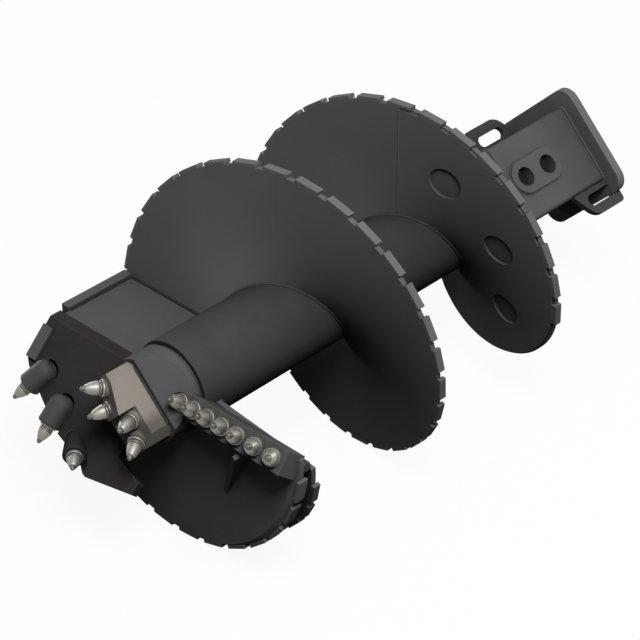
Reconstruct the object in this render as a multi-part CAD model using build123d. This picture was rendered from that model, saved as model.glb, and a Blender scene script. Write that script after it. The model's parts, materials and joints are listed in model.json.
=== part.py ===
"""Rock auger: core tube, helical flight, pick-armed cutters, pilot and kelly box.

Everything is built upright: Z is the tool axis with the kelly end at the top,
X points to the bar cutter and Y to the ground side of the parked tool.
"""
import os
from math import cos, radians, sin, sqrt

from build123d import *

# Core tube and pilot stub.
TUBE_R = 131.0
TUBE_WALL = 20.0
TUBE_TOP = 1265.0
NECK_R = 116.0
NECK_LENGTH = 14.0
STUB_R = 125.0
STUB_LENGTH = 92.0
FACET_FOOT = 62.0
FACET_RISE = 80.0
FACET_RUN = 62.0
PLUG_DEPTH = 90.0

# Helical flight, right-handed, seen from the pilot it climbs clockwise.
PITCH = 494.0
FLIGHT_R = 490.0
FLIGHT_T = 16.0
FLIGHT_FOOT_Z = 37.2
LEAD_ANGLE = -354.0
SEAM_LOW = -90.0
SEAM_HIGH = 270.0
TAIL_ANGLE = 490.0
TAIL_ARC_R = 317.0
TAIL_ARC_ANGLE = 6.6
TAIL_FROM = 360.0 + TAIL_ARC_ANGLE
DOUBLER_STEP = 6.0
DOUBLER_R = FLIGHT_R - DOUBLER_STEP
DOUBLER_T = 8.0
HOLE_R = 50.0
HOLE_CIRCLE_R = 320.0
HOLE_FIRST = 297.5
HOLE_STEP = 44.0
HOLE_COUNT = 3

# Wear blocks on the rims.
BLOCK_H = 10.0
BLOCK_W = 24.0
BLOCK_SPAN = 8.6
BLOCK_STEP = 12.0
BLOCK_FIRST = -358.3
BLOCK_LAST = 363.0

# Base plate under the bar cutter.
BASE_Z = -12.0
BASE_T = 25.0
BASE_STEP = 4.0
BASE_R = FLIGHT_R - BASE_STEP
BASE_SPAN = 138.0
BEVEL_SHIFT = 32.0
BEVEL_R = BASE_R + BEVEL_SHIFT / 5
BEVEL_ANGLE = -10.0
BEVEL_H = 12.0
BEVEL_W = 24.0
BASE_BLOCK_W = 32.0
BASE_BLOCK_FIRST = 8.0
BASE_BLOCK_COUNT = 11

# Picks, measured from the seat face towards the tip.
SHANK_R = 15.0
SHANK_LENGTH = 58.0
COLLAR_R = 24.0
COLLAR_H = 8.0
BODY_R = 20.0
CONE_FROM = 19.0
NOSE_R = 7.5
NOSE_FROM = 58.0
TIP_R = 3.0
PICK_LENGTH = 67.0
BORE_CLEAR = 0.3
SEAT_CLEAR = 0.4
COLLAR_CLEAR = 1.0
BORE_EXTRA = 4.0

# Bar cutter, a square bar turned so that its pick face leans into the cut.
BAR_LEAN = 40.0
BAR_FACE_Z = -56.0
BAR_FACE_UP = 18.0
BAR_W = 70.0
BAR_DEPTH = 75.0
BAR_IN = 68.0
BAR_SHORT = 12.0
BAR_OUT = FLIGHT_R - BAR_SHORT
BOSS_R = 27.0
BOSS_H = 14.0
BOSS_SUNK = 24.0
BAR_PICKS = (
    # out from the axis, outward tilt
    (103.0, 7.0),
    (152.0, 9.0),
    (203.0, 12.0),
    (257.0, 16.0),
    (313.0, 20.0),
    (378.0, 24.0),
    (444.0, 28.0),
)

# Gusset that backs the bar against the base plate.
GUSSET_R = 308.0
GUSSET_ANGLE = 27.8
GUSSET_T = 14.0
GUSSET_FOOT = 125.0
GUSSET_ROOT = -150.0
GUSSET_TOP = -120.0
GUSSET_H = 73.0

# Plate cutter on the other side, leaning forward from a carrier plate.
CARRIER_T = 25.0
CARRIER_SHORT = 24.0
CARRIER_OUT = FLIGHT_R - CARRIER_SHORT
EDGE_BAR_W = 30.0
EDGE_BAR_OUT = CARRIER_OUT + EDGE_BAR_W
EDGE_BAR_RISE = 12.0
EDGE_BAR_FROM = 36.0
PLATE_FRONT = 11.0
PLATE_BACK = 16.0
STRIP_W = 38.0
STRIP_T = 10.0
STRIP_FROM = 38.0
STRIP_TO = 141.0
PLATE_OUTLINE = (
    # out from the axis, down the slope
    (-487.0, -30.0),
    (-487.0, 141.0),
    (-467.0, 161.0),
    (-389.0, 208.0),
    (-352.0, 229.0),
    (-268.0, 277.0),
    (-222.0, 290.0),
    (-135.0, 328.0),
    (-99.0, 340.0),
    (68.0, 313.0),
    (70.0, 275.0),
    (-34.0, 245.0),
    (-34.0, -30.0),
)
SLEEVE_R = 35.5
SLEEVE_LENGTH = 84.0
SLEEVE_LIP = 8.5
SLEEVE_CHAMFER = 4.0
SLEEVE_ROUND = 28.0
SLEEVES = (
    # name, out from the axis, down the slope, off the slope, outward tilt, forward lean
    ("outer", -420.3, 202.0, 20.0, 26.0, 0.0),
    ("middle", -290.0, 264.0, 20.0, 3.0, 0.0),
    ("inner", -161.5, 303.0, 16.0, -52.0, 32.0),
)
NOTCH_GAP = 9.0

# Pilot block, a blade across the axis turned with the kelly box.
SQUARE_TURN = -45.0
PILOT_W = 226.0
PILOT_T = 116.0
PILOT_HALVES = (
    # turn, highest front, fall along the blade, fall across it
    (0.0, -232.0, 0.356, 0.27),
    (180.0, -192.0, 0.0, 0.17),
)
PILOT_CHAMFER = 28.0
PILOT_HEEL = 14.0
PILOT_SEAT_Z = -192.0
PILOT_PICKS = (
    # along the blade, across the blade, lean along, lean across
    (84.0, -1.0, 28.0, -13.0),
    (27.0, -28.0, 10.0, -20.0),
    (-27.0, 28.0, -10.0, 20.0),
    (-84.0, 1.0, -28.0, 13.0),
)

# Kelly box, flange and lifting ears.
SEAT_W = 262.0
SEAT_T = 25.0
BOX_W = 256.0
BOX_TOP = 1715.0
BOX_FILLET = 14.0
BOX_WALL = 25.0
SOCKET_W = BOX_W - 2 * BOX_WALL
PIN_R = 30.0
PIN_Z = (1361.0, 1461.0)
PAD_T = 8.0
PAD_R = 52.0
FLANGE_RIM = 51.0
FLANGE_W = BOX_W + 2 * FLANGE_RIM
FLANGE_Z = 1640.0
FLANGE_T = 28.0
FLANGE_FILLET = 50.0
EAR_T = 20.0
EAR_FACE = BOX_W / 2
EAR_REACH = 85.0
EAR_OUT = BOX_W / 2 + EAR_REACH
EAR_FROM = 1488.0
EAR_LENGTH = 180.0
EAR_SLANT = 50.0
EAR_ROUND = 55.0
EAR_CORNER = 14.0
EAR_SLOT = 112.0
EAR_SLOT_W = 36.0
EAR_SLOT_ALONG = 102.0
EAR_SLOT_RISE = 35.0
EAR_SLOT_AT = (EAR_SLOT_ALONG, BOX_W / 2 + EAR_SLOT_RISE)

REACH = 3000.0
SQUARE = Rot(0, 0, SQUARE_TURN)


def flight_z(angle):
    """Height of the flight's pilot-side face at an angle about the axis."""
    return FLIGHT_FOOT_Z + PITCH * (angle - LEAD_ANGLE) / 360


def helical_sector(r_in, r_out, angle, span, thick, lift=0.0):
    """Plate that climbs with the flight between two radii and two angles."""
    rise = PITCH * span / 360
    rails = {}
    for key, radius, shift in (("a", r_in, 0), ("b", r_out, 0), ("c", r_out, thick), ("d", r_in, thick)):
        rails[key] = Pos(0, 0, shift) * Edge.make_helix(PITCH, rise, radius)
    faces = [Face.make_surface_from_curves(rails[p], rails[q]) for p, q in ("ab", "bc", "cd", "da")]
    for end in (0, 1):
        faces.append(Face(Wire.make_polygon([rails[key] @ end for key in "abcd"], close=True)))
    return Pos(0, 0, flight_z(angle) + lift) * Rot(0, 0, angle) * Solid(Shell(faces))


def flat_sector(r_in, r_out, angle, span, z, thick):
    """Flat ring sector between two radii and two angles."""
    blank = Pos((r_in + r_out) / 2, 0, z + thick / 2) * Box(r_out - r_in, 0.001, thick)
    face = blank.faces().sort_by(Axis.Y)[-1]
    return Rot(0, 0, angle) * revolve(Pos(0, -face.center().Y, 0) * face, Axis.Z, span)


def crest_cut(radius, angle):
    """Slab that leaves a rim block flat-topped at a radius, square to its middle."""
    slab = Pos(radius + BLOCK_H, 0, 0) * Box(2 * BLOCK_H, FLIGHT_R, 2 * REACH)
    return Rot(0, 0, angle + BLOCK_SPAN / 2) * slab


def disc(radius, z_from, z_to):
    """Round slug about the axis between two heights."""
    return Pos(0, 0, (z_from + z_to) / 2) * Cylinder(radius, z_to - z_from)


def pick():
    """Round-shank pick along Z with its seat at the origin."""
    rows = (
        # height, radius
        (-SHANK_LENGTH, 0),
        (-SHANK_LENGTH, SHANK_R),
        (SEAT_CLEAR, SHANK_R),
        (SEAT_CLEAR, COLLAR_R),
        (COLLAR_H, COLLAR_R),
        (COLLAR_H, BODY_R),
        (CONE_FROM, BODY_R),
        (NOSE_FROM, NOSE_R),
        (PICK_LENGTH, TIP_R),
        (PICK_LENGTH, 0),
    )
    outline = Polyline(*[(radius, 0, height) for height, radius in rows], close=True)
    return revolve(make_face(outline), Axis.Z)


def pick_bore(depth):
    """Hole for a pick's shank with room above it for the collar to turn."""
    return disc(SHANK_R + BORE_CLEAR, -depth, 0) + disc(COLLAR_R + COLLAR_CLEAR, 0, PICK_LENGTH)


BLIND = SHANK_LENGTH + BORE_EXTRA
nodes = {}
pick_places = {}

# Pilot stub: plug in the tube, neck, and collar with two sloping flats down to the pilot block.
stub_bottom = -NECK_LENGTH - STUB_LENGTH
stub = disc(TUBE_R - TUBE_WALL, 0, PLUG_DEPTH)
stub += disc(NECK_R, -NECK_LENGTH, 0)
stub += disc(STUB_R, stub_bottom, -NECK_LENGTH)
for side in (1, -1):
    facet = Plane(origin=(side * FACET_FOOT, 0, stub_bottom), z_dir=(side * FACET_RISE, 0, -FACET_RUN))
    stub -= SQUARE * facet.location * (Pos(0, 0, REACH / 2) * Box(REACH, REACH, REACH))

# Core tube.
tube = disc(TUBE_R, 0, TUBE_TOP) - disc(TUBE_R - TUBE_WALL, 0, TUBE_TOP)

# Bar cutter.
bar_normal = (0, -sin(radians(BAR_LEAN)), -cos(radians(BAR_LEAN)))
bar_plane = Plane(origin=(0, -BAR_FACE_UP, BAR_FACE_Z), x_dir=(1, 0, 0), z_dir=bar_normal).location
bar_block = Pos((BAR_IN + BAR_OUT) / 2, 0, -BAR_DEPTH / 2) * Box(BAR_OUT - BAR_IN, BAR_W, BAR_DEPTH)
bar_box = bar_plane * bar_block
bar = bar_block
bar_rows = [row for row in BAR_PICKS if row[0] + BOSS_R < BAR_OUT]
bar_seats = [Pos(out, 0, BOSS_H) * Rot(0, tilt, 0) for out, tilt in bar_rows]
for seat in bar_seats:
    bar += seat * disc(BOSS_R, -BOSS_SUNK, 0)
    stub -= bar_plane * seat * disc(BOSS_R, -BOSS_SUNK, PICK_LENGTH)
for number, seat in enumerate(bar_seats, start=1):
    bar -= seat * pick_bore(BLIND)
    pick_places[f"bar_pick_{number}"] = bar_plane * seat
nodes["bar_cutter"] = bar_plane * bar
nodes["core_tube"] = tube - bar_box
stub -= bar_box

# Base plate, bevelled in a crescent below the bar, and the first wear blocks.
base = flat_sector(TUBE_R, BASE_R, 0, BASE_SPAN, BASE_Z, BASE_T)
bevel = disc(BEVEL_R + BASE_R, BASE_Z, BASE_Z + BEVEL_H)
bevel -= Pos(0, 0, BASE_Z + BEVEL_H / 2) * Cone(BEVEL_R, BEVEL_R + BEVEL_W, BEVEL_H)
bevel = Rot(0, 0, BEVEL_ANGLE) * Pos(-BEVEL_SHIFT, 0, 0) * bevel
nodes["base_plate"] = base - bevel - bar_box
base_blocks = []
for index in range(BASE_BLOCK_COUNT):
    angle = BASE_BLOCK_FIRST + BLOCK_STEP * index
    block = flat_sector(BASE_R, BASE_R + 2 * BLOCK_H, angle, BLOCK_SPAN, BASE_Z, BASE_BLOCK_W)
    base_blocks.append(block - crest_cut(BASE_R + BLOCK_H, angle))
nodes["base_wear_blocks"] = Compound(base_blocks)

# Gusset between the bar and the base plate, square to the plate.
gusset_out = (cos(radians(GUSSET_ANGLE)), sin(radians(GUSSET_ANGLE)), 0)
gusset_origin = (GUSSET_R * gusset_out[0], GUSSET_R * gusset_out[1], BASE_Z)
gusset_along = (-gusset_out[1], gusset_out[0], 0)
gusset_place = Plane(origin=gusset_origin, x_dir=gusset_along, z_dir=gusset_out).location
gusset = Polyline((GUSSET_FOOT, 0), (GUSSET_TOP, -GUSSET_H), (GUSSET_ROOT, 0), close=True)
gusset = Pos(0, 0, -GUSSET_T) * extrude(make_face(gusset), GUSSET_T)
nodes["bar_gusset"] = gusset_place * gusset - bar_box

# Flight in three lengths, butted at the seams.
bore_tool = disc(TUBE_R, -REACH, REACH)
flight_lengths = (
    # name, from, to
    ("flight_lead", LEAD_ANGLE, SEAM_LOW),
    ("flight_lower", SEAM_LOW, SEAM_HIGH),
    ("flight_upper", SEAM_HIGH, TAIL_FROM),
)
for name, begin, end in flight_lengths[:2]:
    nodes[name] = helical_sector(TUBE_R, FLIGHT_R, begin, end - begin, FLIGHT_T)

# Upper length behind a doubler plate, both with the rounded tail; the doubler has the holes.
upper_layers = (
    # name, rim radius, thickness, lift
    ("flight_upper", FLIGHT_R, FLIGHT_T, DOUBLER_T),
    ("flight_doubler", DOUBLER_R, DOUBLER_T, 0.0),
)
tail_span = TAIL_ANGLE - TAIL_FROM
for name, rim, thick, lift in upper_layers:
    arc_r = TAIL_ARC_R + rim - FLIGHT_R
    tail_arc = Rot(0, 0, TAIL_ARC_ANGLE) * Pos(rim - arc_r, 0, 0) * disc(arc_r, 0, REACH)
    tail = helical_sector(TUBE_R, rim, TAIL_FROM, tail_span, thick, lift) & tail_arc
    nodes[name] = helical_sector(TUBE_R, rim, SEAM_HIGH, TAIL_FROM - SEAM_HIGH, thick, lift) + tail
for index in range(HOLE_COUNT):
    hole = Pos(HOLE_CIRCLE_R, 0, 0) * disc(HOLE_R, 0, REACH)
    nodes["flight_doubler"] -= Rot(0, 0, HOLE_FIRST + HOLE_STEP * index) * hole

# Wear blocks along the flight's rim, grouped by flight length.
for name, begin, end in flight_lengths:
    blocks = []
    angle = BLOCK_FIRST
    while angle <= BLOCK_LAST:
        if begin <= angle < end:
            layers = upper_layers if name == "flight_upper" else ((name, FLIGHT_R, BLOCK_W, 0.0),)
            for layer, rim, thick, lift in layers:
                block = helical_sector(rim, FLIGHT_R + 2 * BLOCK_H, angle, BLOCK_SPAN, thick, lift)
                blocks.append(block - crest_cut(FLIGHT_R + BLOCK_H, angle))
        angle += BLOCK_STEP
    nodes[name.replace("flight", "wear_blocks")] = Compound(blocks)

# Web that carries the flight's leading edge off the base plate.
web_bottom = BASE_Z + BASE_T
web = Pos((TUBE_R + BASE_R) / 2, BAR_W / 2, (web_bottom + flight_z(LEAD_ANGLE) + BAR_W) / 2)
web = web * Box(BASE_R - TUBE_R, CARRIER_T, flight_z(LEAD_ANGLE) + BAR_W - web_bottom)
web = web - helical_sector(TUBE_R / 2, FLIGHT_R + BAR_W, LEAD_ANGLE - 30, 90, PITCH / 2) - bore_tool
nodes["lead_web"] = web - bar_box

# Plate cutter: carrier, edge bar, leaning plate, side strip, sleeves and picks.
half = sqrt(0.5)
slope = Plane(origin=(0, 0, 0), x_dir=(1, 0, 0), z_dir=(0, -half, -half)).location
plate = make_face(Polyline(*[(out, -down) for out, down in PLATE_OUTLINE], close=True))
plate = Pos(0, 0, -PLATE_BACK) * extrude(plate, PLATE_FRONT + PLATE_BACK)
carrier = Pos(-(TUBE_R / 2 + CARRIER_OUT) / 2, CARRIER_T / 2, flight_z(-180) / 2)
carrier = carrier * Box(CARRIER_OUT - TUBE_R / 2, CARRIER_T, flight_z(-180))
over = helical_sector(TUBE_R / 2, FLIGHT_R + BAR_W, -220, 80, PITCH / 2)
behind = slope * (Pos(0, 0, REACH / 2 - PLATE_BACK) * Box(REACH, REACH, REACH))
nodes["plate_carrier"] = carrier - over - behind - bore_tool
edge_bar = Pos(-(CARRIER_OUT + EDGE_BAR_OUT) / 2, (CARRIER_T - EDGE_BAR_RISE) / 2, (EDGE_BAR_FROM + flight_z(-180)) / 2)
edge_bar = edge_bar * Box(EDGE_BAR_OUT - CARRIER_OUT, CARRIER_T + EDGE_BAR_RISE, flight_z(-180) - EDGE_BAR_FROM)
nodes["carrier_edge_bar"] = edge_bar - over
strip = Pos(PLATE_OUTLINE[0][0] + STRIP_W / 2, -(STRIP_FROM + STRIP_TO) / 2, PLATE_FRONT + STRIP_T / 2)
strip = strip * Box(STRIP_W, STRIP_TO - STRIP_FROM, STRIP_T)
for name, out, down, off, tilt, lean in SLEEVES:
    seat = Pos(out, -down, off) * Rot(0, 0, 180 - tilt) * Rot(lean - 90, 0, 0)
    sleeve = disc(SLEEVE_R, -SLEEVE_LENGTH, SLEEVE_LIP)
    sleeve = chamfer(sleeve.faces().sort_by(Axis.Z)[-1].edges(), SLEEVE_CHAMFER)
    sleeve = fillet(sleeve.faces().sort_by(Axis.Z)[0].edges(), SLEEVE_ROUND)
    notch = disc(SLEEVE_R, -SLEEVE_LENGTH - NOTCH_GAP, SLEEVE_LENGTH)
    notch = seat * fillet(notch.faces().sort_by(Axis.Z)[0].edges(), SLEEVE_ROUND)
    strip -= notch
    plate -= notch
    nodes[f"sleeve_{name}"] = slope * seat * (sleeve - pick_bore(SLEEVE_LENGTH))
    pick_places[f"plate_pick_{name}"] = slope * seat
nodes["plate_side_strip"] = slope * strip
above = Pos(0, -REACH / 2, 0) * Box(REACH, REACH, REACH)
plate = slope * plate - above

# Pilot block: two halves turned end for end, each with a front that falls off across it.
pilot = []
for turn, peak, fall_along, fall_across in PILOT_HALVES:
    blade = Pos(0, -PILOT_W / 4, (stub_bottom + peak) / 2)
    blade = blade * Box(PILOT_T, PILOT_W / 2, stub_bottom - peak)
    blade = chamfer(blade.faces().sort_by(Axis.Y)[0].edges().filter_by(Axis.Z), PILOT_CHAMFER)
    fall = Plane(origin=(PILOT_T / 2, 0, peak), z_dir=(-fall_across, -fall_along, -1))
    blade -= fall.location * (Pos(0, 0, REACH / 2) * Box(REACH, REACH, REACH))
    pilot.append(Rot(0, 0, turn) * blade)
pilot = pilot[0] + pilot[1]
heel_at = sqrt(2) * PILOT_HEEL
for side in (-1, 1):
    heel = Pos(side * PILOT_T / 2, 0, stub_bottom) * Rot(0, 45, 0)
    pilot -= heel * Box(heel_at, REACH, heel_at)
pilot_seats = []
for along, across, lean_along, lean_across in PILOT_PICKS:
    lean = Rot(-lean_along, 0, 0) * Rot(0, -lean_across, 0)
    pilot_seats.append(Pos(across, -along, PILOT_SEAT_Z) * lean * Rot(180, 0, 0))
for seat in pilot_seats:
    pilot += seat * disc(BOSS_R, -BOSS_SUNK - BOSS_H, 0)
for number, seat in enumerate(pilot_seats, start=1):
    pilot -= seat * pick_bore(BLIND)
    pick_places[f"pilot_pick_{number}"] = SQUARE * seat
nodes["pilot_block"] = SQUARE * pilot
nodes["pilot_stub"] = stub
nodes["cutter_plate"] = plate - disc(STUB_R, -REACH, 0) - bore_tool - nodes["pilot_block"]

# Kelly box of four wall plates on its seat plate.
box_length = BOX_TOP - TUBE_TOP - SEAT_T
box_mid = TUBE_TOP + SEAT_T + box_length / 2
blank = fillet(Box(BOX_W, BOX_W, box_length).edges().filter_by(Axis.Z), BOX_FILLET)
box_outer = Pos(0, 0, box_mid) * blank
pin_holes = [Pos(0, 0, z) * Rot(0, 90, 0) * Cylinder(PIN_R, REACH) for z in PIN_Z]
wall_t = (BOX_W - SOCKET_W) / 2
wall_at = (BOX_W - wall_t) / 2
for name, side in (("front", 1), ("rear", -1)):
    wall = Pos(side * wall_at, 0, box_mid) * Box(wall_t, BOX_W, box_length) & box_outer
    for hole in pin_holes:
        wall -= hole
    nodes[f"kelly_wall_{name}"] = SQUARE * wall
for name, side in (("right", 1), ("left", -1)):
    nodes[f"kelly_wall_{name}"] = SQUARE * Pos(0, side * wall_at, box_mid) * Box(SOCKET_W, wall_t, box_length)
nodes["kelly_seat"] = SQUARE * Pos(0, 0, TUBE_TOP + SEAT_T / 2) * Box(SEAT_W, SEAT_W, SEAT_T)
pad_length = PIN_Z[1] - PIN_Z[0] + 2 * PAD_R
pad = extrude(Rot(0, 0, 90) * SlotOverall(pad_length, 2 * PAD_R), PAD_T)
for name, side in (("front", 1), ("rear", -1)):
    place = Pos(side * BOX_W / 2, 0, sum(PIN_Z) / 2) * Rot(0, 90 * side, 0) * Rot(0, 0, 90)
    solid = place * pad
    for hole in pin_holes:
        solid -= hole
    nodes[f"pin_pad_{name}"] = SQUARE * solid
flange = Box(FLANGE_W, FLANGE_W, FLANGE_T)
flange = fillet(flange.edges().filter_by(Axis.Z), FLANGE_FILLET)
flange = Pos(0, 0, FLANGE_Z + FLANGE_T / 2) * flange
nodes["kelly_flange"] = SQUARE * (flange - box_outer)

# Lifting ears on two opposite walls; the far one is turned end for end.
ear_rows = (
    # along from the slanted end, out from the axis, rounding
    (0, BOX_W / 2, 0),
    (EAR_SLANT, EAR_OUT, EAR_ROUND),
    (EAR_LENGTH, EAR_OUT, EAR_CORNER),
    (EAR_LENGTH, BOX_W / 2, 0),
)
ear = make_face(Polyline(*[row[:2] for row in ear_rows], close=True))
for along, out, rounding in ear_rows:
    if rounding:
        ear = fillet(ear.vertices().sort_by_distance((along, out, 0))[0], rounding)
ear = extrude(ear, EAR_T)
ear -= Pos(EAR_SLOT_AT[0], EAR_SLOT_AT[1], 0) * extrude(SlotOverall(EAR_SLOT, EAR_SLOT_W), EAR_T)
ear_places = (
    # name, face, slanted end, direction along the axis
    ("near", EAR_FACE, EAR_FROM, 1),
    ("far", EAR_T - EAR_FACE, FLANGE_Z, -1),
)
for name, face, end, way in ear_places:
    place = Plane(origin=(face, 0, end), x_dir=(0, 0, way), z_dir=(-1, 0, 0)).location
    nodes[f"lifting_ear_{name}"] = SQUARE * (place * ear - flange)

# Picks, one solid turned out and set into every seat.
one_pick = pick()
for name, place in pick_places.items():
    nodes[name] = place * one_pick

# Parked on its side: the kelly end points along Y and the ground side is down.
heights = [shape.bounding_box() for shape in nodes.values()]
middle = (min(box.min.Z for box in heights) + max(box.max.Z for box in heights)) / 2
PARKED = Pos(0, -middle, FLIGHT_R + BLOCK_H) * Rot(-90, 0, 0)
os.makedirs("parts", exist_ok=True)
for name, shape in nodes.items():
    placed = PARKED * shape
    placed.label = name
    export_step(placed, os.path.join("parts", name + ".step"))
    print(name, round(placed.volume), len(placed.solids()), placed.is_valid)
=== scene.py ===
# %% [markdown]
# # A rock auger for a rotary drilling rig
#
# The tool lies parked on its wear blocks. A core tube carries one helical flight, a pilot with
# two cutters at the near end and a square box for the rig's drive bar at the far end. The solids
# come in as a fixed frame, in metres, so this lesson dresses them: camera, light, finishes, weld
# beads and turned picks.

# %% Load the frame
import json
import math

import bmesh
import bpy
from mathutils import Matrix, Vector


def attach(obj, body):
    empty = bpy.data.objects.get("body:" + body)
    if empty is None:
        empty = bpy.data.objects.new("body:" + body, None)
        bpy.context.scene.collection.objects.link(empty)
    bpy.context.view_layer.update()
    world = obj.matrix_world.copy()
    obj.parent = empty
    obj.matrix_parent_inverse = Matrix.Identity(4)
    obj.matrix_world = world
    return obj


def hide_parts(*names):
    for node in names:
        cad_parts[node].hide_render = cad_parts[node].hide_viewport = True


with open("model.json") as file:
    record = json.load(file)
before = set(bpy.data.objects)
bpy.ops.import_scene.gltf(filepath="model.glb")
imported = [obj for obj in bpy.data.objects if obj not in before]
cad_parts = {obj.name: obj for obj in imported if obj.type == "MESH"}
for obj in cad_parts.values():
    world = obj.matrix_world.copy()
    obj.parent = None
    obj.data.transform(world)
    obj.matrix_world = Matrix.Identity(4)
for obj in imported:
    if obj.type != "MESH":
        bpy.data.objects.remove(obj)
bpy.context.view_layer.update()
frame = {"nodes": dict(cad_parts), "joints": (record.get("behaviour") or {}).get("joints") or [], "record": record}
nodes = frame["nodes"]
record = frame["record"]

# %% [markdown]
# ## Camera
#
# The picture is a drawing in mild perspective: a long lens far away, level with nothing and
# looking down at about thirty-five degrees. The angles were solved from the helix itself, whose
# rim gives many points at known places. A tiny roll is left in, because two thousand millimetres
# of tool would otherwise miss by a pixel at the far end.

# %% Place the camera
AIM = Vector((-0.1538, 0.0131, 0.2696))
AZIMUTH = math.radians(44.16)
ELEVATION = math.radians(34.86)
ROLL = math.radians(-0.22)
DISTANCE = 7.459
LENS_MM = 141.3
SENSOR_MM = 36.0

towards = Vector((
    math.sin(AZIMUTH) * math.cos(ELEVATION),
    -math.cos(AZIMUTH) * math.cos(ELEVATION),
    math.sin(ELEVATION),
))
camera_data = bpy.data.cameras.new("camera")
camera_data.lens = LENS_MM
camera_data.sensor_width = SENSOR_MM
camera = bpy.data.objects.new("camera", camera_data)
camera.rotation_mode = "QUATERNION"
level = (-towards).to_track_quat("-Z", "Y")
camera.rotation_quaternion = level @ Matrix.Rotation(ROLL, 3, "Z").to_quaternion()
camera.location = AIM + towards * DISTANCE
bpy.context.scene.collection.objects.link(camera)
bpy.context.scene.camera = camera
print("camera at", [round(value, 3) for value in camera.location])

# %% [markdown]
# ## Small helpers for node trees
#
# Shader graphs read better when one line makes one node. `put` makes a node and sets its inputs
# by name, and `wire` links an output to an input. Both are used by every finish below.


# %% Node helpers
def put(tree, kind, settings=None, **inputs):
    """Add a node, set its own settings, then its inputs by socket name."""
    node = tree.nodes.new(kind)
    for key, value in (settings or {}).items():
        setattr(node, key, value)
    for key, value in inputs.items():
        node.inputs[key.replace("_", " ")].default_value = value
    return node


def wire(tree, source, target):
    """Link an output socket to an input socket."""
    tree.links.new(source, target)


def new_group(name, inputs, outputs):
    """Start a shader node group with named float or vector sockets."""
    tree = bpy.data.node_groups.new(name, "ShaderNodeTree")
    for label, kind, value in inputs:
        socket = tree.interface.new_socket(label, in_out="INPUT", socket_type=kind)
        socket.default_value = value
    for label, kind in outputs:
        tree.interface.new_socket(label, in_out="OUTPUT", socket_type=kind)
    return tree, tree.nodes.new("NodeGroupInput"), tree.nodes.new("NodeGroupOutput")


FLOAT = "NodeSocketFloat"
VECTOR = "NodeSocketVector"
print("helpers: put, wire, new_group")

# %% [markdown]
# ## Effect: broken edges
#
# Flame-cut plate never has a razor edge: it is dressed with a grinder and then the paint rubs
# off first along that line. A bevel node gives the rounded normal without touching the mesh, and
# the angle between it and the true normal is the mask for rubbed paint. Noise breaks the line up.

# %% Group: broken_edge
edge_group, g_in, g_out = new_group(
    "broken_edge",
    [("Radius", FLOAT, 0.003), ("Breakup", FLOAT, 30.0)],
    [("Normal", VECTOR), ("Edge", FLOAT)],
)
bevel = put(edge_group, "ShaderNodeBevel", {"samples": 6})
geometry = put(edge_group, "ShaderNodeNewGeometry")
where = put(edge_group, "ShaderNodeTexCoord")
patch = put(edge_group, "ShaderNodeTexNoise", Detail=4.0, Roughness=0.65)
agree = put(edge_group, "ShaderNodeVectorMath", {"operation": "DOT_PRODUCT"})
turned = put(edge_group, "ShaderNodeMapRange", From_Min=0.995, From_Max=0.82)
broken = put(edge_group, "ShaderNodeMapRange", From_Min=0.35, From_Max=0.65)
mask = put(edge_group, "ShaderNodeMath", {"operation": "MULTIPLY", "use_clamp": True})
wire(edge_group, g_in.outputs["Radius"], bevel.inputs["Radius"])
wire(edge_group, g_in.outputs["Breakup"], patch.inputs["Scale"])
wire(edge_group, where.outputs["Object"], patch.inputs["Vector"])
wire(edge_group, bevel.outputs["Normal"], agree.inputs[0])
wire(edge_group, geometry.outputs["Normal"], agree.inputs[1])
wire(edge_group, agree.outputs["Value"], turned.inputs["Value"])
wire(edge_group, patch.outputs[0], broken.inputs["Value"])
wire(edge_group, turned.outputs["Result"], mask.inputs[0])
wire(edge_group, broken.outputs["Result"], mask.inputs[1])
wire(edge_group, bevel.outputs["Normal"], g_out.inputs["Normal"])
wire(edge_group, mask.outputs["Value"], g_out.inputs["Edge"])
print("group", edge_group.name)

# %% [markdown]
# ## Effect: painted plate
#
# Sprayed paint over rolled plate has a fine orange-peel skin and broad, faint clouds where the
# coat is thicker. Two noises do it: one broad for tone, one fine for height.

# %% Group: painted_plate
plate_group, g_in, g_out = new_group(
    "painted_plate",
    [("Cloud Scale", FLOAT, 3.0), ("Peel Scale", FLOAT, 240.0)],
    [("Tone", FLOAT), ("Height", FLOAT)],
)
where = put(plate_group, "ShaderNodeTexCoord")
cloud = put(plate_group, "ShaderNodeTexNoise", Detail=5.0, Roughness=0.6)
peel = put(plate_group, "ShaderNodeTexNoise", Detail=2.0, Roughness=0.5)
wire(plate_group, where.outputs["Object"], cloud.inputs["Vector"])
wire(plate_group, where.outputs["Object"], peel.inputs["Vector"])
wire(plate_group, g_in.outputs["Cloud Scale"], cloud.inputs["Scale"])
wire(plate_group, g_in.outputs["Peel Scale"], peel.inputs["Scale"])
wire(plate_group, cloud.outputs[0], g_out.inputs["Tone"])
wire(plate_group, peel.outputs[0], g_out.inputs["Height"])
print("group", plate_group.name)

# %% [markdown]
# ## Effect: settled dust
#
# A parked tool gathers a breath of pale dust where its faces look up. The normal's upward part
# gives the place, and noise makes it patchy.

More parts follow.
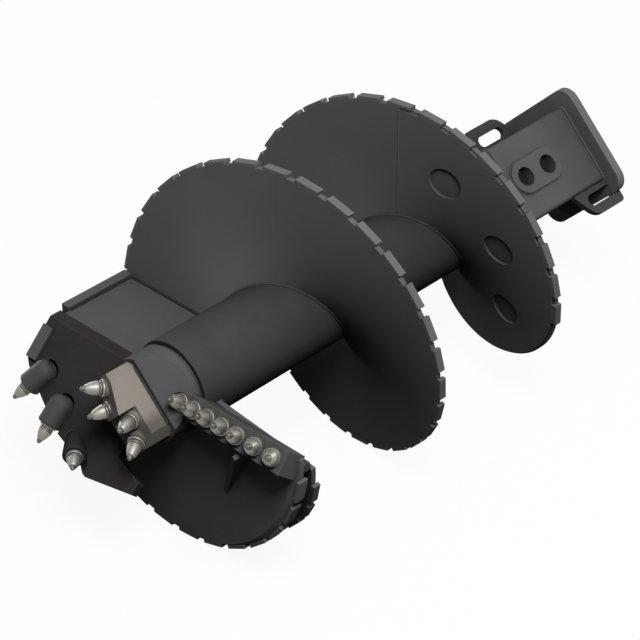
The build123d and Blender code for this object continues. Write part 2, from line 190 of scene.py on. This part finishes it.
# %% Group: settled_dust
dust_group, g_in, g_out = new_group(
    "settled_dust",
    [("Scale", FLOAT, 9.0), ("Amount", FLOAT, 0.2)],
    [("Dust", FLOAT)],
)
geometry = put(dust_group, "ShaderNodeNewGeometry")
split = put(dust_group, "ShaderNodeSeparateXYZ")
upward = put(dust_group, "ShaderNodeMapRange", From_Min=0.35, From_Max=1.0)
where = put(dust_group, "ShaderNodeTexCoord")
patch = put(dust_group, "ShaderNodeTexNoise", Detail=6.0, Roughness=0.7)
patchy = put(dust_group, "ShaderNodeMapRange", From_Min=0.4, From_Max=0.75)
both = put(dust_group, "ShaderNodeMath", {"operation": "MULTIPLY"})
scaled = put(dust_group, "ShaderNodeMath", {"operation": "MULTIPLY", "use_clamp": True})
wire(dust_group, geometry.outputs["Normal"], split.inputs["Vector"])
wire(dust_group, split.outputs["Z"], upward.inputs["Value"])
wire(dust_group, where.outputs["Object"], patch.inputs["Vector"])
wire(dust_group, g_in.outputs["Scale"], patch.inputs["Scale"])
wire(dust_group, patch.outputs[0], patchy.inputs["Value"])
wire(dust_group, upward.outputs["Result"], both.inputs[0])
wire(dust_group, patchy.outputs["Result"], both.inputs[1])
wire(dust_group, both.outputs["Value"], scaled.inputs[0])
wire(dust_group, g_in.outputs["Amount"], scaled.inputs[1])
wire(dust_group, scaled.outputs["Value"], g_out.inputs["Dust"])
print("group", dust_group.name)

# %% [markdown]
# ## Effect: painted corner shade
#
# Painted shade: the corners between flight and tube, and other places hemmed in by the solids,
# are darkened in the colour, where shade falls. The ambient occlusion node asks how much of the
# space around a point is filled. It measures the solids, so the painted shade keeps its place
# from every side.

# %% Group: painted corner shade
painted_shade_group, g_in, g_out = new_group(
    "painted_corner_shade",
    [("Reach", FLOAT, 0.6), ("Scale", FLOAT, 5.0)],
    [("Painted Shade", FLOAT)],
)
# The occlusion share becomes a mask of painted shade, with a little noise.
hollow = put(painted_shade_group, "ShaderNodeAmbientOcclusion", {"samples": 8})
occluded_share = put(painted_shade_group, "ShaderNodeMapRange", From_Min=0.95, From_Max=0.35)
where = put(painted_shade_group, "ShaderNodeTexCoord")
patch = put(painted_shade_group, "ShaderNodeTexNoise", Detail=5.0, Roughness=0.6)
uneven = put(painted_shade_group, "ShaderNodeMapRange", To_Min=0.8, To_Max=1.2)
both = put(painted_shade_group, "ShaderNodeMath", {"operation": "MULTIPLY", "use_clamp": True})
wire(painted_shade_group, g_in.outputs["Reach"], hollow.inputs["Distance"])
wire(painted_shade_group, hollow.outputs["AO"], occluded_share.inputs["Value"])
wire(painted_shade_group, where.outputs["Object"], patch.inputs["Vector"])
wire(painted_shade_group, g_in.outputs["Scale"], patch.inputs["Scale"])
wire(painted_shade_group, patch.outputs[0], uneven.inputs["Value"])
wire(painted_shade_group, occluded_share.outputs["Result"], both.inputs[0])
wire(painted_shade_group, uneven.outputs["Result"], both.inputs[1])
wire(painted_shade_group, both.outputs["Value"], g_out.inputs["Painted Shade"])
print("group", painted_shade_group.name)

# %% [markdown]
# ## Finish: sprayed paint
#
# Nearly the whole tool wears one kind of coat in a few shades. One function mixes it from the
# four effects: cloudy tone, painted shade in the corners, rubbed edges showing primer, and dust on
# top.


# %% Paint function
TONE_DARK = 0.84
TONE_LIGHT = 1.18
# Share of the coat's colour kept in the painted corner shade:
CORNER_SHADE_TONE = 0.2
RUBBED_SHARE = 0.75
DUST_COLOUR = (0.30, 0.28, 0.25)


def group_node(tree, group):
    """Place a node group in a material."""
    node = tree.nodes.new("ShaderNodeGroup")
    node.node_tree = group
    return node


def blend_colour(tree, factor, first, second):
    """Mix two colours, each a tuple or a socket, by a factor socket."""
    mix = put(tree, "ShaderNodeMix", {"data_type": "RGBA"})
    wire(tree, factor, mix.inputs["Factor"])
    for slot, value in ((6, first), (7, second)):
        if isinstance(value, tuple):
            mix.inputs[slot].default_value = (*value, 1.0)
        else:
            wire(tree, value, mix.inputs[slot])
    return mix.outputs[2]


def sprayed_paint(
    name, colour, rubbed, roughness=0.55, gloss=0.0, edge=0.003, dust=0.2, corner_shade_share=0.55
):
    """Dark machine paint with cloudy tone, painted corner shade, rubbed edges and settled dust."""
    material = bpy.data.materials.new(name)
    material.use_nodes = True
    tree = material.node_tree
    shader = tree.nodes["Principled BSDF"]
    shader.inputs["Specular IOR Level"].default_value = gloss
    edges = group_node(tree, edge_group)
    edges.inputs["Radius"].default_value = edge
    skin = group_node(tree, plate_group)
    settle = group_node(tree, dust_group)
    settle.inputs["Amount"].default_value = dust
    light = tuple(min(1.0, value * TONE_LIGHT) for value in colour)
    dark = tuple(value * TONE_DARK for value in colour)
    shade_colour = tuple(value * CORNER_SHADE_TONE for value in colour)
    coat = blend_colour(tree, skin.outputs["Tone"], dark, light)
    coat = blend_colour(tree, settle.outputs["Dust"], coat, DUST_COLOUR)
    # Painted shade: the coat darkens where the corner shade group finds the space filled.
    corners = group_node(tree, painted_shade_group)
    shade_amount = put(tree, "ShaderNodeMath", {"operation": "MULTIPLY"})
    shade_amount.inputs[1].default_value = corner_shade_share
    wire(tree, corners.outputs["Painted Shade"], shade_amount.inputs[0])
    coat = blend_colour(tree, shade_amount.outputs["Value"], coat, shade_colour)
    worn = put(tree, "ShaderNodeMath", {"operation": "MULTIPLY"})
    worn.inputs[1].default_value = RUBBED_SHARE
    wire(tree, edges.outputs["Edge"], worn.inputs[0])
    coat = blend_colour(tree, worn.outputs["Value"], coat, rubbed)
    wire(tree, coat, shader.inputs["Base Color"])
    rough = put(tree, "ShaderNodeMapRange", To_Min=roughness - 0.06, To_Max=roughness + 0.08)
    wire(tree, skin.outputs["Tone"], rough.inputs["Value"])
    wire(tree, rough.outputs["Result"], shader.inputs["Roughness"])
    bump = put(tree, "ShaderNodeBump", Strength=0.35, Distance=0.0006)
    wire(tree, skin.outputs["Height"], bump.inputs["Height"])
    wire(tree, edges.outputs["Normal"], bump.inputs["Normal"])
    wire(tree, bump.outputs["Normal"], shader.inputs["Normal"])
    return material


PRIMER = (0.17, 0.165, 0.155)
charcoal = sprayed_paint("charcoal_paint", (0.060, 0.060, 0.060), PRIMER, dust=0.06)
flight_grey = sprayed_paint("flight_paint", (0.124, 0.123, 0.122), PRIMER, edge=0.0015, dust=0.04)
plate_black = sprayed_paint("cutter_black_paint", (0.036, 0.034, 0.033), PRIMER, dust=0.04)
block_grey = sprayed_paint("wear_block_paint", (0.140, 0.140, 0.139), PRIMER, edge=0.002, dust=0.04)
drive_grey = sprayed_paint("drive_end_paint", (0.095, 0.095, 0.095), PRIMER, dust=0.06)
sleeve_black = sprayed_paint(
    "sleeve_black_paint", (0.070, 0.070, 0.070), PRIMER, roughness=0.5, gloss=0.06, dust=0.04
)
BARE_PILOT = (0.36, 0.345, 0.32)
pilot_primer = sprayed_paint("pilot_warm_primer", (0.280, 0.254, 0.222), BARE_PILOT, dust=0.04)

# %% [markdown]
# ### Scoured pilot
#
# Rock scours the pilot block down to pale primer. Its colour turns brown on its lower half. The
# mask is the distance across the axis, broken up by noise so that the brown has a ragged edge.

# %% Scour the pilot block
LOWER_BROWN = (0.105, 0.098, 0.088)
ACROSS = (-0.707, 0.0, 0.707)
tree = pilot_primer.node_tree
shader = tree.nodes["Principled BSDF"]
pale = shader.inputs["Base Color"].links[0].from_socket
geometry = put(tree, "ShaderNodeNewGeometry")
across = put(tree, "ShaderNodeVectorMath", {"operation": "DOT_PRODUCT"})
across.inputs[1].default_value = ACROSS
blotch = put(tree, "ShaderNodeTexNoise", Scale=14.0, Detail=6.0, Roughness=0.7)
ragged = put(tree, "ShaderNodeMapRange", To_Min=-0.035, To_Max=0.035)
place = put(tree, "ShaderNodeMath", {"operation": "ADD"})
lower_share = put(tree, "ShaderNodeMapRange", From_Min=0.325, From_Max=0.285, To_Max=0.85)
wire(tree, geometry.outputs["Position"], across.inputs[0])
wire(tree, geometry.outputs["Position"], blotch.inputs["Vector"])
wire(tree, blotch.outputs[0], ragged.inputs["Value"])
wire(tree, across.outputs["Value"], place.inputs[0])
wire(tree, ragged.outputs["Result"], place.inputs[1])
wire(tree, place.outputs["Value"], lower_share.inputs["Value"])
browned = blend_colour(tree, lower_share.outputs["Result"], pale, LOWER_BROWN)
wire(tree, browned, shader.inputs["Base Color"])
print("paints:", [item.name for item in bpy.data.materials])

# %% [markdown]
# ### Which piece wears which coat
#
# Each solid has a material slot in the record, and most take the coat of that slot. Some pieces of
# one slot show in other shades in the picture, so a second table by name goes before the first.
# Giving a finish to a node's mesh leaves its shape alone.

# %% Give each solid its finish
finishes = {
    "dark_paint": charcoal,
    "wear_steel": block_grey,
    "sleeve_steel": sleeve_black,
    "pilot_steel": pilot_primer,
    "pick_steel": charcoal,
}
special = {
    "cutter_plate": plate_black,
    # The inner sleeve takes the near-black cutter paint as painted shade; the other sleeves keep the sleeve paint.
    "sleeve_inner": plate_black,
    "kelly_flange": block_grey,
    "base_plate": block_grey,
    "carrier_edge_bar": drive_grey,
    "plate_side_strip": drive_grey,
}
drive_like = ("kelly_wall", "pin_pad", "plate_carrier", "pilot_stub", "bar_cutter")
for name in nodes:
    # The bar gusset takes the lighter flight paint as painted light, lifting it where the bar shades it.
    if name.startswith("flight") or name == "bar_gusset":
        special[name] = flight_grey
    if name.startswith(drive_like):
        special[name] = drive_grey
slots = {row["node"]: row["material_slot"] for row in record["subparts"]}
for name, solid in nodes.items():
    solid.data.materials.clear()
    solid.data.materials.append(special.get(name) or finishes[slots[name]])
print("finished solids:", len(nodes))

# %% [markdown]
# ## Picks
#
# A round-shank pick is a turned steel body with a brazed hard tip. It shows a washer-like collar,
# two thin pulling grooves, a long taper and a small dark nose. A lathe profile spun about an axis
# gives all of it, and the joints say where each of the fourteen axes lies. The points are written
# where they stand, so the tool marks can't follow object space: the height goes into a UV map.

# %% Picks: steel finish
STEEL_DARK = 0.72
STEEL_BRIGHT = 1.15
STEEL_CLOUDS = 60.0
STEEL_EDGE = 0.0012
ring_group, g_in, g_out = new_group(
    "turned_rings",
    [("Pitch", FLOAT, 0.0012)],
    [("Height", FLOAT)],
)
where = put(ring_group, "ShaderNodeTexCoord")
split = put(ring_group, "ShaderNodeSeparateXYZ")
count = put(ring_group, "ShaderNodeMath", {"operation": "DIVIDE"})
wave = put(ring_group, "ShaderNodeMath", {"operation": "PINGPONG"})
wave.inputs[1].default_value = 1.0
wire(ring_group, where.outputs["UV"], split.inputs["Vector"])
wire(ring_group, split.outputs["Y"], count.inputs[0])
wire(ring_group, g_in.outputs["Pitch"], count.inputs[1])
wire(ring_group, count.outputs["Value"], wave.inputs[0])
wire(ring_group, wave.outputs["Value"], g_out.inputs["Height"])


def turned_steel(name, colour, roughness, metallic):
    """Bare turned steel with fine tool rings and a stained tone."""
    material = bpy.data.materials.new(name)
    material.use_nodes = True
    tree = material.node_tree
    shader = tree.nodes["Principled BSDF"]
    shader.inputs["Metallic"].default_value = metallic
    rings = group_node(tree, ring_group)
    skin = group_node(tree, plate_group)
    skin.inputs["Cloud Scale"].default_value = STEEL_CLOUDS
    edges = group_node(tree, edge_group)
    edges.inputs["Radius"].default_value = STEEL_EDGE
    dark = tuple(value * STEEL_DARK for value in colour)
    bright = tuple(min(1.0, value * STEEL_BRIGHT) for value in colour)
    tone = blend_colour(tree, skin.outputs["Tone"], dark, bright)
    wire(tree, tone, shader.inputs["Base Color"])
    rough = put(tree, "ShaderNodeMapRange", To_Min=roughness - 0.08, To_Max=roughness + 0.10)
    wire(tree, skin.outputs["Tone"], rough.inputs["Value"])
    wire(tree, rough.outputs["Result"], shader.inputs["Roughness"])
    bump = put(tree, "ShaderNodeBump", Strength=0.25, Distance=0.0004)
    wire(tree, rings.outputs["Height"], bump.inputs["Height"])
    wire(tree, edges.outputs["Normal"], bump.inputs["Normal"])
    wire(tree, bump.outputs["Normal"], shader.inputs["Normal"])
    return material


pick_body = turned_steel("pick_turned_steel", (0.31, 0.30, 0.268), 0.50, 0.70)
# Painted shade: the grooves and the undercut under the collar take this dark steel, as does the dark braze ring
# below the nose.
groove_shade_steel = turned_steel("pick_groove_painted_shade", (0.07, 0.066, 0.06), 0.6, 0.3)
pick_nose = turned_steel("pick_hard_nose", (0.13, 0.125, 0.115), 0.42, 0.6)
print("steels:", pick_body.name, groove_shade_steel.name, pick_nose.name)

# %% [markdown]
# ### The lathe profile
#
# A screw modifier could spin a drawn line, but each band needs its own finish, so the rings are
# made one by one from a table. Picks in sleeves get a taller collar, because the sleeve's lip
# hides the low one and the picture shows the grooves at its mouth.

# %% Picks: the lathe profile
# Finish 0 is the body steel, 1 the dark steel of painted shade in the grooves and of the braze ring, 2 the nose.
PICK_ROWS = (
    # height mm, radius mm, finish of the band that ends here
    (-58.0, 0.0, 0),
    (-58.0, 13.5, 0),
    (-56.5, 15.0, 0),
    (0.4, 15.0, 0),
    (0.4, 23.2, 0),
    (1.2, 24.0, 0),
    (6.2, 24.0, 0),
    (7.4, 22.8, 0),
    (7.6, 19.0, 1),
    (8.2, 17.6, 1),
    (10.2, 17.6, 1),
    (10.6, 19.4, 1),
    (11.2, 20.0, 0),
    (13.8, 20.0, 0),
    (14.2, 18.0, 1),
    (16.2, 18.0, 1),
    (16.6, 19.6, 1),
    (17.2, 20.0, 0),
    (20.0, 20.0, 0),
    (26.0, 19.5, 0),
    (34.0, 17.9, 0),
    (42.0, 15.4, 0),
    (49.0, 12.3, 0),
    (54.0, 9.6, 0),
    (54.8, 8.3, 1),
    (55.8, 8.0, 2),
    (59.0, 7.4, 2),
    (62.5, 6.2, 2),
    (65.2, 4.4, 2),
    (66.6, 2.2, 2),
    (67.0, 0.0, 2),
)
PICK_SIDES = 48
COLLAR_RAISE = 7.5
RAISED_FROM = 6.0
RAISED_TO = 20.0
TAPER_FROM = 30.0
PLATE_PICK_ROWS = [
    (height + COLLAR_RAISE if RAISED_FROM < height <= RAISED_TO else height, radius, finish)
    for height, radius, finish in PICK_ROWS
    if not RAISED_TO < height < TAPER_FROM
]
print("profiles:", len(PICK_ROWS), "and", len(PLATE_PICK_ROWS), "rows")


def turned_mesh(name, rows, sides, place):
    """Spin a profile about an axis, one material index per band, height along V."""
    mesh = bmesh.new()
    along = mesh.loops.layers.uv.new("along")
    rings = []
    heights = {}
    for height, radius, _ in rows:
        ring = []
        for side in range(sides if radius else 1):
            turn = 2 * math.pi * side / sides
            spot = Vector((radius * math.cos(turn), radius * math.sin(turn), height)) / 1000
            ring.append(mesh.verts.new(place @ spot))
            heights[ring[-1]] = (side / sides, height / 1000)
        rings.append(ring)
    for lower, upper, row in zip(rings, rings[1:], rows[1:]):
        for side in range(sides):
            after = (side + 1) % sides
            corners = [lower[side % len(lower)], lower[after % len(lower)]]
            corners += [upper[after % len(upper)], upper[side % len(upper)]]
            face = mesh.faces.new(list(dict.fromkeys(corners)))
            face.material_index = row[2]
            face.smooth = True
            for loop in face.loops:
                loop[along].uv = heights[loop.vert]
    data = bpy.data.meshes.new(name)
    mesh.to_mesh(data)
    mesh.free()
    return data


# %% [markdown]
# ### One pick at each joint
#
# Every pick turns on a joint of its own. The joint gives the seat and the axis, so the profile is
# set there, rides on the pick's body and stands in for the plainer solid.

# %% Picks: one at each joint
for joint in frame["joints"]:
    name = joint["child"]
    turn = Vector(joint["axis"]).to_track_quat("Z", "Y").to_matrix().to_4x4()
    place = Matrix.Translation(joint["pos_m"]) @ turn
    rows = PLATE_PICK_ROWS if name.startswith("plate_pick") else PICK_ROWS
    pick_mesh = turned_mesh("turned_" + name, rows, PICK_SIDES, place)
    for material in (pick_body, groove_shade_steel, pick_nose):
        pick_mesh.materials.append(material)
    pick = bpy.data.objects.new("turned_" + name, pick_mesh)
    bpy.context.scene.collection.objects.link(pick)
    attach(pick, name)
    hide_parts(name)

# %% [markdown]
# ## Weld beads
#
# Everything but the picks is welded, and a weld shows as a fillet of overlapping ripples, one for
# each pool of metal that froze. A bevelled curve would be smooth, so each bead is swept here as
# rings of points along a path, which swell in steps of three. The paths use the drawing's own
# sizes, in millimetres about the tool's axis, and small helpers park them on the floor.

# %% Welds: drawing places and the bead
MIDDLE = 0.7187935
LIFT = 0.5
HALF = math.sqrt(0.5)
BEAD_SIDES = 8
RIPPLE_STEP = 0.36
RIPPLE_LOW = 0.90
RIPPLE_RISE = 0.07
RIPPLE_RINGS = 3


def upright(x, y, z):
    """Place of the upright drawing: X to the bar cutter, Y to the ground, Z along the axis."""
    return Vector((x / 1000, z / 1000 - MIDDLE, LIFT - y / 1000))


def square(x, y, z):
    """Place in the kelly box's frame, which is turned by an eighth."""
    return upright(HALF * (x + y), HALF * (y - x), z)


def around(radius, angle, z):
    """Place on a cylinder about the axis."""
    turn = math.radians(angle)
    return upright(radius * math.cos(turn), radius * math.sin(turn), z)


def evenly(path, step):
    """Walk along a path and set points at equal steps."""
    lengths = [0.0]
    for first, second in zip(path, path[1:]):
        lengths.append(lengths[-1] + (second - first).length)
    count = max(4, round(lengths[-1] / step))
    points = []
    leg = 0
    for index in range(count + 1):
        target = lengths[-1] * index / count
        while leg < len(path) - 2 and lengths[leg + 1] < target:
            leg += 1
        part = (target - lengths[leg]) / max(1e-9, lengths[leg + 1] - lengths[leg])
        points.append(path[leg].lerp(path[leg + 1], part))
    return points


def add_bead(mesh, path, radius):
    """Sweep one rippled bead of a radius in mm along a path."""
    radius = radius / 1000
    points = evenly(path, radius * RIPPLE_STEP)
    side = (points[1] - points[0]).normalized().orthogonal()
    rings = []
    for index, point in enumerate(points):
        ahead = points[min(index + 1, len(points) - 1)] - points[max(index - 1, 0)]
        ahead.normalize()
        side = (side - ahead * side.dot(ahead)).normalized()
        across = ahead.cross(side)
        size = radius * (RIPPLE_LOW + RIPPLE_RISE * (index % RIPPLE_RINGS))
        ring = []
        for corner in range(BEAD_SIDES):
            turn = 2 * math.pi * corner / BEAD_SIDES
            offset = side * math.cos(turn) + across * math.sin(turn)
            ring.append(mesh.verts.new(point + offset * size))
        rings.append(ring)
    for lower, upper in zip(rings, rings[1:]):
        for corner in range(BEAD_SIDES):
            after = (corner + 1) % BEAD_SIDES
            mesh.faces.new((lower[corner], lower[after], upper[after], upper[corner]))
    mesh.faces.new(rings[0][::-1])
    mesh.faces.new(rings[-1])


def weld(name, beads, finish):
    """Make one object of several beads and weld it to the auger."""
    mesh = bmesh.new()
    for path, radius in beads:
        add_bead(mesh, path, radius)
    for face in mesh.faces:
        face.smooth = True
    data = bpy.data.meshes.new(name)
    mesh.to_mesh(data)
    mesh.free()
    data.materials.append(finish)
    piece = bpy.data.objects.new(name, data)
    bpy.context.scene.collection.objects.link(piece)
    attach(piece, "auger")
    print(name, len(beads), "beads", len(data.polygons), "faces")


# %% [markdown]
# ### Flight and base plate
#
# The longest welds follow the flight's root up the tube on both of its faces. The flight climbs
# one pitch in a turn, so its root is a helix, and the bead sits in the corner with the tube.

# %% Welds: flight and base plate
PITCH = 494.0
TUBE_R = 131.0
FLIGHT_FOOT = 37.2
LEAD_ANGLE = -354.0
SEAM_ANGLE = 270.0
TAIL_END = 489.0
LEAD_START = -353.0


def flight_face(angle):
    """Height of the flight's pilot-side face at an angle."""
    return FLIGHT_FOOT + PITCH * (angle - LEAD_ANGLE) / 360


def sweep(first, last, step=3.0):
    """Angles from first to last."""
    count = max(2, round(abs(last - first) / step))
    return [first + (last - first) * index / count for index in range(count + 1)]


def root(first, last, lift):
    """Path of the flight's root, lifted off its pilot-side face."""
    return [around(TUBE_R + 1.0, angle, flight_face(angle) + lift) for angle in sweep(first, last)]


flight_beads = [
    (root(LEAD_START, TAIL_END, -1.0), 5.0),
    (root(LEAD_START, SEAM_ANGLE, 17.0), 5.0),
    (root(SEAM_ANGLE, TAIL_END, 25.0), 5.0),
    ([around(TUBE_R + 1.0, angle, -13.0) for angle in sweep(25.0, 137.0)], 5.0),
    ([around(TUBE_R + 1.0, angle, 14.0) for angle in sweep(20.0, 137.0)], 5.0),
]
weld("flight_welds", flight_beads, charcoal)
seam_z = flight_face(SEAM_ANGLE) + 2.6
seam = [around(radius, SEAM_ANGLE, seam_z) for radius in (142.0, 300.0, 482.0)]
weld("seam_weld", [(seam, 4.0)], flight_grey)

# %% [markdown]
# ### Cutters
#
# The carrier stands on the tube and under the flight, its edge bar on the carrier, the sleeves in
# the leaning plate. A sleeve lies along the plate, so it has one straight bead on each side.

# %% Welds: cutters
def slope(x, y, z):
    """Place in the leaning plate's frame: Y up the slope, Z off its front."""
    return upright(x, -HALF * (y + z), HALF * (y - z))


PLATE_FACE = 11.0
SLEEVE_SIDE = 34.8
SLEEVE_RUN = (-66.0, -40.0, -12.0)
SLEEVES = ((-420.3, 202.0, 26.0), (-290.0, 264.0, 3.0))
CARRIER_RUN = (-142.0, -300.0, -462.0)
carrier_top = flight_face(-180.0)
cutter_beads = [
    ([upright(-TUBE_R - 1.0, -1.0, z) for z in (22.0, 150.0, carrier_top - 6)], 6.5),
    ([upright(-TUBE_R, 26.0, z) for z in (60.0, 150.0, carrier_top - 6)], 6.5),
    ([upright(x, -1.0, carrier_top - 1.0) for x in CARRIER_RUN], 5.5),
    ([upright(x, 26.0, carrier_top + 8.0) for x in CARRIER_RUN], 5.5),
    ([upright(-465.0, -1.0, z) for z in (42.0, 150.0, carrier_top - 6)], 4.5),
    ([upright(x, 49.0, -13.5) for x in (150.0, 300.0, 470.0)], 6.0),
]
for out, down, tilt in SLEEVES:
    tilt = math.radians(tilt)
    for hand in (-SLEEVE_SIDE, SLEEVE_SIDE):
        path = []
        for along in SLEEVE_RUN:
            x = out - math.sin(tilt) * along + math.cos(tilt) * hand
            y = -down - math.cos(tilt) * along - math.sin(tilt) * hand
            path.append(slope(x, y, PLATE_FACE + 0.5))
        cutter_beads.append((path, 4.5))
weld("cutter_welds", cutter_beads, plate_black)

# %% [markdown]
# ### Drive end
#
# The box is four plates welded at their corners, standing on a seat plate and ringed by the
# flange. The pads and the ears have their own small fillets.

# %% Welds: drive end
def square_loop(half, rounding, z):
    """Closed loop round the box with rounded corners."""
    path = []
    for corner in range(4):
        for bend in (0, 30, 60, 90):
            turn = math.radians(90 * corner + bend)
            middle = math.radians(90 * corner + 45)
            x = (half - rounding) * math.sqrt(2) * math.cos(middle) + rounding * math.cos(turn)
            y = (half - rounding) * math.sqrt(2) * math.sin(middle) + rounding * math.sin(turn)
            path.append(square(x, y, z))
    return path + path[:1]


BOX_HALF = 128.0
BOX_ROUND = 15.0
TUBE_TOP = 1265.0
SEAT_TOP = 1290.0
FLANGE_LOW = 1640.0
FLANGE_HIGH = 1668.0
PIN_LOW = 1361.0
PIN_HIGH = 1461.0
PAD_BEAD_R = 52.5


def pad_loop(hand):
    """Closed loop round one pin pad, a half circle about each of its two pins."""
    path = []
    for pin, first in ((PIN_HIGH, 0.0), (PIN_LOW, 180.0)):
        for angle in sweep(first, first + 180.0, 10.0):
            turn = math.radians(angle)
            y = PAD_BEAD_R * math.cos(turn)
            z = pin + PAD_BEAD_R * math.sin(turn)
            path.append(square(hand * (BOX_HALF + 0.5), y, z))
    return path + path[:1]


drive_beads = [
    (square_loop(BOX_HALF + 1.0, BOX_ROUND, FLANGE_LOW - 1.0), 6.0),
    (square_loop(BOX_HALF + 1.0, BOX_ROUND, FLANGE_HIGH + 1.0), 5.0),
    (square_loop(BOX_HALF + 1.0, BOX_ROUND, SEAT_TOP + 0.5), 5.0),
    ([around(TUBE_R + 1.0, angle, TUBE_TOP - 1.0) for angle in sweep(0.0, 360.0)], 6.0),
]
for hand in (-1, 1):
    drive_beads.append((pad_loop(hand), 3.5))
    for other in (-1, 1):
        seam = [square(hand * 103.0, other * (BOX_HALF - 1.8), z) for z in (1296.0, 1500.0, 1633.0)]
        drive_beads.append((seam, 3.2))
for hand, first, last in ((1, 1494.0, 1634.0), (-1, 1464.0, 1630.0)):
    ear = [square(hand * 107.0, hand * (BOX_HALF + 0.5), z) for z in (first, 1560.0, last)]
    drive_beads.append((ear, 4.0))
weld("drive_end_welds", drive_beads, drive_grey)

# %% [markdown]
# ### Pilot
#
# The pilot block sits across the stub's end, so it has a bead along each long side and a short
# one at each end. They are swept like the others.

# %% Welds: pilot
pilot_beads = []
for hand in (-1, 1):
    pilot_beads.append(([square(hand * 47.0, y, -108.0) for y in (-84.0, 0.0, 84.0)], 6.0))
    pilot_beads.append(([square(x, hand * 113.5, -107.0) for x in (-28.0, 0.0, 28.0)], 5.0))
weld("pilot_welds", pilot_beads, charcoal)

# %% [markdown]
# ## Floor and light
#
# The tool shows on white with hardly any light from below, so the floor has two faces. To the
# camera and to reflections it is mostly a white glow, with a share of real diffuse that keeps the
# shadow. To bounced light it is a dark grey, so that it doesn't wash out the undersides. One big
# key from above does the modelling. Two low strips, behind and at the left, only open up the sides
# that the picture doesn't show.

# %% Floor
FLOOR_HALF = 60.0
FLOOR_GLOW = 0.93
FLOOR_PALE = (0.8, 0.8, 0.8, 1.0)
FLOOR_DIM = (0.08, 0.08, 0.08, 1.0)
WHITE = (1.0, 1.0, 1.0, 1.0)
floor_mesh = bpy.data.meshes.new("pale_floor")
floor_signs = ((-1, -1), (1, -1), (1, 1), (-1, 1))
floor_corners = [(x * FLOOR_HALF, y * FLOOR_HALF, 0) for x, y in floor_signs]
floor_mesh.from_pydata(floor_corners, [], [(0, 1, 2, 3)])
floor = bpy.data.objects.new("pale_floor", floor_mesh)
bpy.context.scene.collection.objects.link(floor)


def shown_rays(tree):
    """One where a ray comes from the camera, from a reflection or through glass."""
    rays = put(tree, "ShaderNodeLightPath")
    seen = put(tree, "ShaderNodeMath", {"operation": "MAXIMUM"})
    shown = put(tree, "ShaderNodeMath", {"operation": "MAXIMUM"})
    wire(tree, rays.outputs["Is Camera Ray"], seen.inputs[0])
    wire(tree, rays.outputs["Is Glossy Ray"], seen.inputs[1])
    wire(tree, seen.outputs["Value"], shown.inputs[0])
    wire(tree, rays.outputs["Is Transmission Ray"], shown.inputs[1])
    return shown.outputs["Value"]


floor_paint = bpy.data.materials.new("pale_floor")
floor_paint.use_nodes = True
tree = floor_paint.node_tree
tree.nodes.clear()
pale = put(tree, "ShaderNodeBsdfDiffuse", Color=FLOOR_PALE)
glow = put(tree, "ShaderNodeEmission", Color=WHITE, Strength=1.0)
face = put(tree, "ShaderNodeMixShader", Fac=FLOOR_GLOW)
dim = put(tree, "ShaderNodeBsdfDiffuse", Color=FLOOR_DIM)
mixed = put(tree, "ShaderNodeMixShader")
out = put(tree, "ShaderNodeOutputMaterial")
wire(tree, pale.outputs["BSDF"], face.inputs[1])
wire(tree, glow.outputs["Emission"], face.inputs[2])
wire(tree, shown_rays(tree), mixed.inputs["Fac"])
wire(tree, dim.outputs["BSDF"], mixed.inputs[1])
wire(tree, face.outputs["Shader"], mixed.inputs[2])
wire(tree, mixed.outputs["Shader"], out.inputs["Surface"])
floor_mesh.materials.append(floor_paint)
print("floor:", floor.name)

# %% [markdown]
# ### Lamps
#
# A sun would give hard shadows, and the picture's shading is soft, so all three are area lamps that
# point at the tool's middle.

# %% Lamps
AIMED_AT = Vector((0, 0, 0.5))
LAMPS = (
    # name, place m, width m, height m, watts
    ("key_softbox", (3.7, -2.6, 7.7), 3.0, 3.0, 760.0),
    ("back_strip", (1.0, 9.0, 2.2), 6.0, 2.0, 850.0),
    ("left_strip", (-8.5, 1.5, 1.3), 6.0, 1.6, 380.0),
)
for name, place, width, height, watts in LAMPS:
    lamp_data = bpy.data.lights.new(name, "AREA")
    lamp_data.shape = "RECTANGLE"
    lamp_data.size = width
    lamp_data.size_y = height
    lamp_data.energy = watts
    lamp = bpy.data.objects.new(name, lamp_data)
    lamp.location = place
    lamp.rotation_mode = "QUATERNION"
    lamp.rotation_quaternion = (AIMED_AT - Vector(place)).to_track_quat("-Z", "Y")
    bpy.context.scene.collection.objects.link(lamp)
print("lamps:", len(LAMPS))

# %% [markdown]
# ### World
#
# The background has to be white in the picture and in reflections, but a white world would also
# light the tool from all round and flatten it. So its strength depends on the kind of ray.

# %% World: white to look at, dim as a light
AMBIENT = 0.05
world = bpy.data.worlds.new("studio")
bpy.context.scene.world = world
world.use_nodes = True
tree = world.node_tree
sky = tree.nodes["Background"]
sky.inputs["Color"].default_value = WHITE
level = put(tree, "ShaderNodeMapRange", To_Min=AMBIENT, To_Max=1.0)
wire(tree, shown_rays(tree), level.inputs["Value"])
wire(tree, level.outputs["Result"], sky.inputs["Strength"])
bpy.context.scene.view_settings.view_transform = "Standard"
print("world:", world.name)
